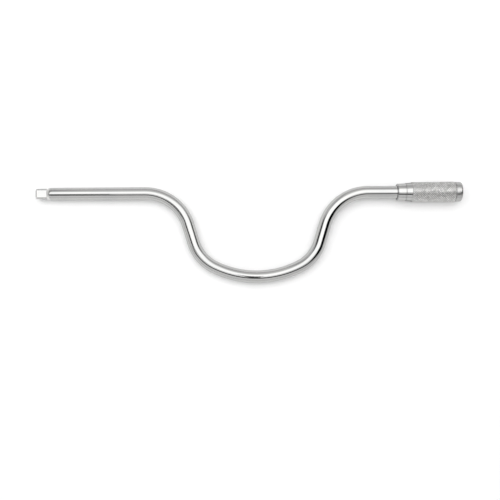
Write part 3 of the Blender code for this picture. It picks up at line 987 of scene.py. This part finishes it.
# name, angles toward +X, angles toward +Y, height, radiance, slant
DARK_PANELS = (
    ("boom", (-46, 68), (-36, -22), 0.85, 0.0, -0.16),
    ("softbox_stand", (24, 51), (-35, 3), 1.6, 0.0, 0.0),
    ("left_gap", (-80, -38), (-11, 38), 0.65, 0.0, 0.0),
    ("left_arm", (-38, -22), (-12, -4), 0.65, 0.0, 0.0),
    ("right_gap", (54, 88), (-31, 57), 0.3, 0.0, 0.0),
    ("lens_arm", (-1.5, 3), (-25, 1.5), 0.3, 0.12, 0.0),
)

# What lights the table: the same softbox as a lamp, and an even surround
LAMP_X_ANGLES = (-46, 33)
LAMP_Y_ANGLES = (-4, 42)
LAMP_RADIANCE = 1.5
AMBIENT = 0.6

# The table, under the three places where the tool rests: grip's rear, bow and square's root
TABLE_CONTACTS = ((0.385, 0, -0.0096), (0.207, -0.085, -0.006), (0.013, 0, -0.006))
TABLE_REACH = 6.0
TABLE_COLOUR = (0.9, 0.9, 0.9)
TABLE_GLOW = 0.1
TABLE_FADE = (0.5, 1.4)

# The camera, which looks straight down from above the photograph's middle
CAMERA_PLACE = (0.20079, -0.05375, 0.65486)
CAMERA_TURN = (0, 0, -0.0057)
CAMERA_LENS = 50
CAMERA_SENSOR = 36
CAMERA_CLIP_START = 0.01


def emission(name, radiance):
    """A plain lit surface for the studio's panels, or a black one at no radiance."""
    return Shader(name, (0, 0, 0), 1, 0).glowing(radiance)


def stage_mesh(name, points, faces, material):
    """A mesh that belongs to the set and not to the object."""
    mesh = bpy.data.meshes.new(name)
    mesh.from_pydata(points, [], faces)
    mesh.materials.append(material)
    obj = bpy.data.objects.new(name, mesh)
    bpy.context.scene.collection.objects.link(obj)
    return obj


def only_mirrored(obj):
    """Makes a panel show in reflections alone, and throw no light or shadow."""
    obj.visible_camera = False
    obj.visible_diffuse = False
    obj.visible_transmission = False
    obj.visible_volume_scatter = False
    obj.visible_shadow = False


def panel(name, x_angles, y_angles, height, material, slant=0.0):
    """A level panel, seen from the object's centre between these angles toward +X and +Y.

    Slant is how many degrees its long edges climb toward +Y for each degree toward +X.
    """
    points = []
    for x_angle, y_angle in (
        (x_angles[0], y_angles[0]),
        (x_angles[1], y_angles[0]),
        (x_angles[1], y_angles[1]),
        (x_angles[0], y_angles[1]),
    ):
        x = height * math.tan(math.radians(x_angle))
        y = height * math.tan(math.radians(y_angle + slant * x_angle))
        points.append((x, y, 0))
    obj = stage_mesh(name, points, [(0, 1, 2, 3)], material)
    obj.location = (*OBJECT_CENTRE, height)
    only_mirrored(obj)


def tent_cloth():
    """Light cloth, brightest overhead and duller toward the floor, most of all toward +X and +Y."""
    shader = Shader("tent_cloth", (0, 0, 0), 1, 0)
    split = shader.node("ShaderNodeSeparateXYZ", {"Vector": shader.place()})
    level = TENT_OVERHEAD
    for axis, lean in (("X", TENT_X_LEAN), ("Y", TENT_Y_LEAN)):
        share = shader.math("DIVIDE", split.outputs[axis], TENT_RADIUS)
        square = shader.math("MULTIPLY", share, share)
        level = shader.math("ADD", level, shader.math("MULTIPLY", share, lean))
        level = shader.math("SUBTRACT", level, shader.math("MULTIPLY", square, TENT_FALL))
    return shader.glowing(level)


def softbox_cloth():
    """The lamp's front cloth, which dims toward +Y and toward its two ends."""
    shader = Shader("softbox_cloth", (0, 0, 0), 1, 0)
    split = shader.node("ShaderNodeSeparateXYZ", {"Vector": shader.place()})
    angles = []
    for axis in ("X", "Y"):
        tangent = shader.math("DIVIDE", split.outputs[axis], SOFTBOX_HEIGHT)
        angles.append(shader.math("DEGREES", shader.math("ARCTANGENT", tangent)))
    left = shader.ramp(angles[0], SOFTBOX_X_ANGLES[0], SOFTBOX_EVEN_X_ANGLES[0])
    right = shader.ramp(angles[0], SOFTBOX_X_ANGLES[1], SOFTBOX_EVEN_X_ANGLES[1])
    across = shader.math("SUBTRACT", angles[1], shader.math("MULTIPLY", angles[0], SOFTBOX_FADE_SLANT))
    far = shader.ramp(across, SOFTBOX_FADE_Y_ANGLES[1], SOFTBOX_FADE_Y_ANGLES[0], smooth=True)
    share = shader.math("MULTIPLY", right, far)
    level = shader.ramp(share, 0, 1, SOFTBOX_EDGE_RADIANCE, SOFTBOX_RADIANCE)
    return shader.glowing(shader.math("MULTIPLY", left, level))


def make_tent():
    """The inside of the light tent, as the metal mirrors it."""
    bm = bmesh.new()
    bmesh.ops.create_uvsphere(bm, u_segments=TENT_SIDES, v_segments=TENT_RINGS, radius=TENT_RADIUS)
    mesh = bpy.data.meshes.new("tent")
    bm.to_mesh(mesh)
    bm.free()
    mesh.shade_smooth()
    mesh.materials.append(tent_cloth())
    obj = bpy.data.objects.new("tent", mesh)
    obj.location = (*OBJECT_CENTRE, 0)
    bpy.context.scene.collection.objects.link(obj)
    only_mirrored(obj)


def make_panels():
    """The softbox's bright front and the dark things round it, as the metal mirrors them."""
    panel(
        "softbox_front",
        SOFTBOX_X_ANGLES,
        SOFTBOX_Y_ANGLES,
        SOFTBOX_HEIGHT,
        softbox_cloth(),
        SOFTBOX_SLANT,
    )
    for name, x_angles, y_angles, height, radiance, slant in DARK_PANELS:
        panel(name, x_angles, y_angles, height, emission(name, radiance), slant)


def make_lamp():
    """The softbox as a lamp. A lamp's energy is its radiance times four times its area."""
    left, right = (SOFTBOX_HEIGHT * math.tan(math.radians(a)) for a in LAMP_X_ANGLES)
    near, far = (SOFTBOX_HEIGHT * math.tan(math.radians(a)) for a in LAMP_Y_ANGLES)
    lamp = bpy.data.lights.new("softbox", "AREA")
    lamp.shape = "RECTANGLE"
    lamp.size = right - left
    lamp.size_y = far - near
    lamp.energy = LAMP_RADIANCE * 4 * lamp.size * lamp.size_y
    obj = bpy.data.objects.new("softbox", lamp)
    centre_x, centre_y = OBJECT_CENTRE
    obj.location = (centre_x + (left + right) / 2, centre_y + (near + far) / 2, SOFTBOX_HEIGHT)
    obj.visible_camera = False
    obj.visible_glossy = False
    bpy.context.scene.collection.objects.link(obj)


def make_floor():
    """The table's top, in the plane of the three places where the tool rests."""
    grip, bow, root = (Vector(contact) for contact in TABLE_CONTACTS)
    normal = (bow - grip).cross(root - grip).normalized()
    if normal.z < 0:
        normal.negate()
    corners = []
    for x_side, y_side in ((-1, -1), (1, -1), (1, 1), (-1, 1)):
        x, y = x_side * TABLE_REACH, y_side * TABLE_REACH
        z = grip.z - (normal.x * (x - grip.x) + normal.y * (y - grip.y)) / normal.z
        corners.append((x, y, z))
    stage_mesh("table", corners, [(0, 1, 2, 3)], table_white())


def table_white():
    """White card, evenly bright into the distance, and clear to an eye below it."""
    shader = Shader("table_white", TABLE_COLOUR, 1, 0)
    shader.set("Specular IOR Level", 0)
    shader.set("Emission Color", (1, 1, 1, 1))
    centre = (*OBJECT_CENTRE, 0)
    outward = shader.node("ShaderNodeVectorMath", {0: shader.place(), 1: centre}, operation="SUBTRACT")
    distance = shader.node("ShaderNodeVectorMath", {0: outward.outputs["Vector"]}, operation="LENGTH")
    near, far = TABLE_FADE
    glow = shader.ramp(distance.outputs["Value"], near, far, TABLE_GLOW, 1, smooth=True)
    shown = seen_or_mirrored(shader.tree, 0)
    shader.set("Emission Strength", shader.math("MULTIPLY", glow, shown))
    card = shader.principled.outputs[0]
    clear = shader.node("ShaderNodeBsdfTransparent").outputs[0]
    below = shader.node("ShaderNodeNewGeometry").outputs["Backfacing"]
    either = shader.node("ShaderNodeMixShader", {0: below, 1: card, 2: clear})
    shader.tree.links.new(either.outputs[0], shader.tree.nodes["Material Output"].inputs["Surface"])
    return shader.material


def seen_or_mirrored(tree, otherwise):
    """A number that is 1 for camera, glossy and transmission rays, and otherwise for other rays."""
    path = tree.nodes.new("ShaderNodeLightPath")
    rays = path.outputs["Is Camera Ray"]
    for kind in ("Is Glossy Ray", "Is Transmission Ray"):
        either = tree.nodes.new("ShaderNodeMath")
        either.operation = "MAXIMUM"
        tree.links.new(rays, either.inputs[0])
        tree.links.new(path.outputs[kind], either.inputs[1])
        rays = either.outputs[0]
    level = tree.nodes.new("ShaderNodeMapRange")
    level.inputs["To Min"].default_value = otherwise
    level.inputs["To Max"].default_value = 1
    tree.links.new(rays, level.inputs["Value"])
    return level.outputs["Result"]


def make_world():
    """White where it is seen or mirrored, a softer grey as light."""
    world = bpy.data.worlds.new("studio")
    bpy.context.scene.world = world
    world.use_nodes = True
    background = world.node_tree.nodes["Background"]
    background.inputs["Color"].default_value = (1, 1, 1, 1)
    strength = seen_or_mirrored(world.node_tree, AMBIENT)
    world.node_tree.links.new(strength, background.inputs["Strength"])
    world.cycles.sampling_method = "NONE"


def make_camera():
    """The camera, and colours shown as they are rendered."""
    camera = bpy.data.cameras.new("camera")
    camera.lens = CAMERA_LENS
    camera.sensor_width = CAMERA_SENSOR
    camera.clip_start = CAMERA_CLIP_START
    obj = bpy.data.objects.new("camera", camera)
    obj.location = CAMERA_PLACE
    obj.rotation_euler = CAMERA_TURN
    bpy.context.scene.collection.objects.link(obj)
    bpy.context.scene.camera = obj
    bpy.context.scene.view_settings.view_transform = "Standard"


# Assembly


def dress_bar():
    """The bar and the sprung ball in its square drive."""
    bar = bar_chrome()
    add_piece("bar_polished", bar_mesh(), bar, "crank", "crank_bar")
    add_piece("ball_polished", ball_mesh(), ball_steel(), "detent", "detent_ball")


def dress_grip():
    """Collar, knurled sleeve and cap."""
    collar_plate = turned_chrome("turned_chrome", 0.08, PLATE_COOL, PLATE_WARM)
    add_piece("collar_turned", collar_mesh(), collar_plate, "grip", "front_collar")
    sleeve = sleeve_mesh()
    knurl = knurled_chrome()
    add_piece("sleeve_knurled", sleeve, knurl, "grip", "grip_sleeve", KNURL_SHARP_ANGLE)
    # The cap's satin plate is a darker copy of the collar's: painted shade standing in for its dimmer
    # reflections.
    cap_plate = turned_chrome("satin_turned_chrome", 0.24, PLATE_SHADED_COOL, PLATE_SHADED_WARM)
    add_piece("cap_turned", cap_mesh(), cap_plate, "grip", "end_cap")


def dress_spring(blackened):
    """The ball's spring, given a mesh of its own."""
    spring = add_piece("spring_coiled", spring_mesh(), blackened, "crank", "detent_spring")
    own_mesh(spring)


def finish_inner_nodes(blackened):
    """Materials of the CAD nodes inside the grip, whose shapes stay."""
    finishes = {
        "retaining_ring": blackened,
        "thrust_washer": washer_steel(),
        "rear_washer": washer_steel(),
        "front_bush": sintered_bronze(),
        "rear_bush": sintered_bronze(),
    }
    for name, material in finishes.items():
        for material_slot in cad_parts[name].material_slots:
            material_slot.material = material


dress_bar()
dress_grip()
blackened = spring_steel()
dress_spring(blackened)
finish_inner_nodes(blackened)
make_tent()
make_panels()
make_lamp()
make_floor()
make_world()
make_camera()
